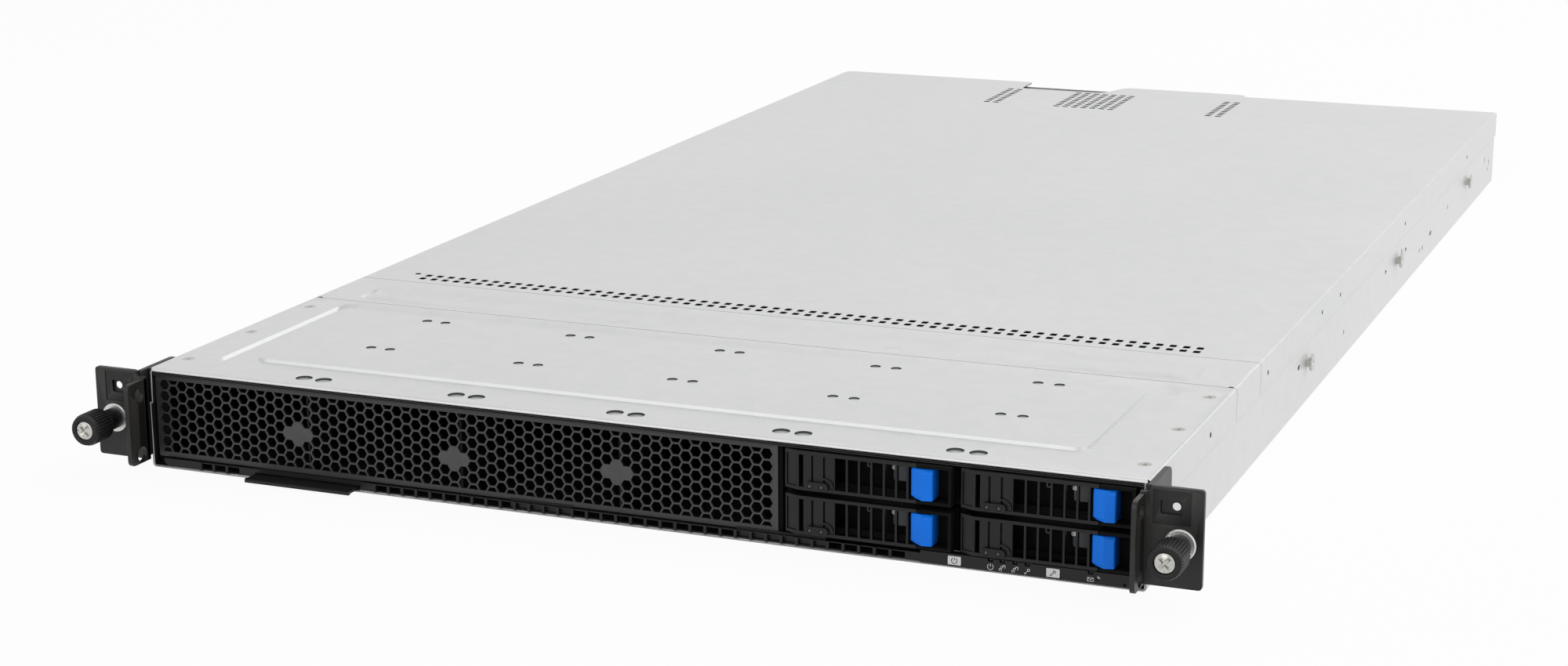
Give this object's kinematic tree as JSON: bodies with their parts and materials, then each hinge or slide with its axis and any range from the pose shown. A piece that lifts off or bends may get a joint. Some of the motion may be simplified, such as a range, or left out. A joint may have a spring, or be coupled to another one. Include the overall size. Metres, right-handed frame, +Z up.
{
  "type": "rack server",
  "caption": "One-unit rack server chassis with slide-off cover, perforated front, drive trays with swing levers, captive thumbscrew ears and plug-in power supplies.",
  "frame": {"origin": "centre line of the chassis at underside height, in the plane of the ears' rear faces that meet the rack posts", "axes": "+X to the right seen from the front, +Y from the front to the rear, +Z up"},
  "size_m": [0.4826, 0.8774, 0.0438],
  "materials": {
    "galvanised_steel": "satin zinc-plated sheet",
    "black_steel": "satin black powder coat",
    "black_plastic": "fine matt texture",
    "carrier_alloy": "bead blasted",
    "sink_alloy": "extruded",
    "blue_plastic": "satin moulded",
    "orange_plastic": "satin moulded",
    "white_plastic": "satin moulded",
    "lamp_lens": "clear gloss",
    "nickel_steel": "nickel plated",
    "green_board": "solder mask",
    "psu_case": "satin zinc-plated sheet"
  },
  "bodies": {
    "chassis": {"base_pan": "galvanised_steel", "rear_panel": "galvanised_steel", "front_cover": "galvanised_steel", "mid_bridge": "galvanised_steel", "cover_screws": "nickel_steel", "front_frame": "black_steel", "honeycomb_grille": "black_steel", "vent_strip": "black_plastic", "tag_guide": "black_plastic", "control_strip": "black_plastic", "lamp_windows": "lamp_lens", "rail_studs": "nickel_steel", "thumbscrew_ferrules": "nickel_steel", "thumbscrew_barrels": "black_plastic", "right_ear": "black_steel", "left_ear": "black_steel", "drive_cage": "galvanised_steel", "bay_dividers": "galvanised_steel", "drive_backplane": "green_board", "fan_frames": "black_plastic", "fan_rotors": "black_plastic", "system_board": "green_board", "heatsinks": "sink_alloy", "memory_modules": "black_plastic", "air_duct": "black_plastic", "riser_cards": "green_board", "slot_covers": "galvanised_steel", "rear_ports": "nickel_steel", "power_board": "green_board"},
    "lid": {"top_cover": "galvanised_steel"},
    "info_tag": {"asset_tag": "black_plastic"},
    "power_key": {"power_button": "white_plastic"},
    "locate_key": {"locate_button": "white_plastic"},
    "reset_key": {"reset_button": "white_plastic"},
    "right_clip": {"right_screw_clip": "nickel_steel"},
    "right_thumbscrew": {"right_knob": "black_plastic", "right_screw": "nickel_steel"},
    "left_clip": {"left_screw_clip": "nickel_steel"},
    "left_thumbscrew": {"left_knob": "black_plastic", "left_screw": "nickel_steel"},
    "tray_1": {"drive_tray_1": "carrier_alloy"},
    "lever_1": {"tray_lever_1": "black_plastic"},
    "latch_1": {"tray_latch_1": "blue_plastic"},
    "tray_2": {"drive_tray_2": "carrier_alloy"},
    "lever_2": {"tray_lever_2": "black_plastic"},
    "latch_2": {"tray_latch_2": "blue_plastic"},
    "tray_3": {"drive_tray_3": "carrier_alloy"},
    "lever_3": {"tray_lever_3": "black_plastic"},
    "latch_3": {"tray_latch_3": "blue_plastic"},
    "tray_4": {"drive_tray_4": "carrier_alloy"},
    "lever_4": {"tray_lever_4": "black_plastic"},
    "latch_4": {"tray_latch_4": "blue_plastic"},
    "psu_1": {"power_supply_1": "psu_case", "psu_handle_1": "black_steel"},
    "psu_1_latch": {"psu_latch_1": "orange_plastic"},
    "psu_1_fan": {"psu_fan_1": "black_plastic"},
    "psu_2": {"power_supply_2": "psu_case", "psu_handle_2": "black_steel"},
    "psu_2_latch": {"psu_latch_2": "orange_plastic"},
    "psu_2_fan": {"psu_fan_2": "black_plastic"}
  },
  "joints": [
    {"name": "lid_slide", "type": "slide", "parent": "chassis", "child": "lid", "axis": [0, 1, 0], "range_m": [0, 0.014]},
    {"name": "tag_slide", "type": "slide", "parent": "chassis", "child": "info_tag", "axis": [0, -1, 0], "range_m": [0, 0.04]},
    {"name": "power_press", "type": "slide", "parent": "chassis", "child": "power_key", "axis": [0, 1, 0], "range_m": [0, 0.0008], "stiffness_N_per_m": 900, "springref_m": -0.0008},
    {"name": "locate_press", "type": "slide", "parent": "chassis", "child": "locate_key", "axis": [0, 1, 0], "range_m": [0, 0.0008], "stiffness_N_per_m": 900, "springref_m": -0.0008},
    {"name": "reset_press", "type": "slide", "parent": "chassis", "child": "reset_key", "axis": [0, 1, 0], "range_m": [0, 0.0006], "stiffness_N_per_m": 600, "springref_m": -0.0008},
    {"name": "right_thumbscrew_slide", "type": "slide", "parent": "chassis", "child": "right_clip", "axis": [0, 1, 0], "range_m": [0, 0.009]},
    {"name": "right_thumbscrew_spin", "type": "hinge", "parent": "right_clip", "child": "right_thumbscrew", "pos_m": [0.2326, 0, 0.022], "axis": [0, 1, 0], "continuous": true},
    {"name": "left_thumbscrew_slide", "type": "slide", "parent": "chassis", "child": "left_clip", "axis": [0, 1, 0], "range_m": [0, 0.009]},
    {"name": "left_thumbscrew_spin", "type": "hinge", "parent": "left_clip", "child": "left_thumbscrew", "pos_m": [-0.2326, 0, 0.022], "axis": [0, 1, 0], "continuous": true},
    {"name": "tray_1_slide", "type": "slide", "parent": "chassis", "child": "tray_1", "axis": [0, -1, 0], "range_m": [0, 0.1]},
    {"name": "lever_1_hinge", "type": "hinge", "parent": "tray_1", "child": "lever_1", "pos_m": [0.0762, 0.0074, 0], "axis": [0, 0, -1], "range_deg": [0, 60]},
    {"name": "latch_1_slide", "type": "slide", "parent": "tray_1", "child": "latch_1", "axis": [1, 0, 0], "range_m": [0, 0.004], "stiffness_N_per_m": 200, "springref_m": -0.002},
    {"name": "tray_2_slide", "type": "slide", "parent": "chassis", "child": "tray_2", "axis": [0, -1, 0], "range_m": [0, 0.1]},
    {"name": "lever_2_hinge", "type": "hinge", "parent": "tray_2", "child": "lever_2", "pos_m": [0.0762, 0.0074, 0], "axis": [0, 0, -1], "range_deg": [0, 60]},
    {"name": "latch_2_slide", "type": "slide", "parent": "tray_2", "child": "latch_2", "axis": [1, 0, 0], "range_m": [0, 0.004], "stiffness_N_per_m": 200, "springref_m": -0.002},
    {"name": "tray_3_slide", "type": "slide", "parent": "chassis", "child": "tray_3", "axis": [0, -1, 0], "range_m": [0, 0.1]},
    {"name": "lever_3_hinge", "type": "hinge", "parent": "tray_3", "child": "lever_3", "pos_m": [0.1482, 0.0074, 0], "axis": [0, 0, -1], "range_deg": [0, 60]},
    {"name": "latch_3_slide", "type": "slide", "parent": "tray_3", "child": "latch_3", "axis": [1, 0, 0], "range_m": [0, 0.004], "stiffness_N_per_m": 200, "springref_m": -0.002},
    {"name": "tray_4_slide", "type": "slide", "parent": "chassis", "child": "tray_4", "axis": [0, -1, 0], "range_m": [0, 0.1]},
    {"name": "lever_4_hinge", "type": "hinge", "parent": "tray_4", "child": "lever_4", "pos_m": [0.1482, 0.0074, 0], "axis": [0, 0, -1], "range_deg": [0, 60]},
    {"name": "latch_4_slide", "type": "slide", "parent": "tray_4", "child": "latch_4", "axis": [1, 0, 0], "range_m": [0, 0.004], "stiffness_N_per_m": 200, "springref_m": -0.002},
    {"name": "psu_1_slide", "type": "slide", "parent": "chassis", "child": "psu_1", "axis": [0, 1, 0], "range_m": [0, 0.15]},
    {"name": "psu_1_latch_press", "type": "slide", "parent": "psu_1", "child": "psu_1_latch", "axis": [-1, 0, 0], "range_m": [0, 0.0015], "stiffness_N_per_m": 800, "springref_m": -0.001},
    {"name": "psu_1_fan_spin", "type": "hinge", "parent": "psu_1", "child": "psu_1_fan", "pos_m": [0.0869, 0.82, 0.0207], "axis": [0, 1, 0], "continuous": true},
    {"name": "psu_2_slide", "type": "slide", "parent": "chassis", "child": "psu_2", "axis": [0, 1, 0], "range_m": [0, 0.15]},
    {"name": "psu_2_latch_press", "type": "slide", "parent": "psu_2", "child": "psu_2_latch", "axis": [-1, 0, 0], "range_m": [0, 0.0015], "stiffness_N_per_m": 800, "springref_m": -0.001},
    {"name": "psu_2_fan_spin", "type": "hinge", "parent": "psu_2", "child": "psu_2_fan", "pos_m": [0.1624, 0.82, 0.0207], "axis": [0, 1, 0], "continuous": true}
  ]
}
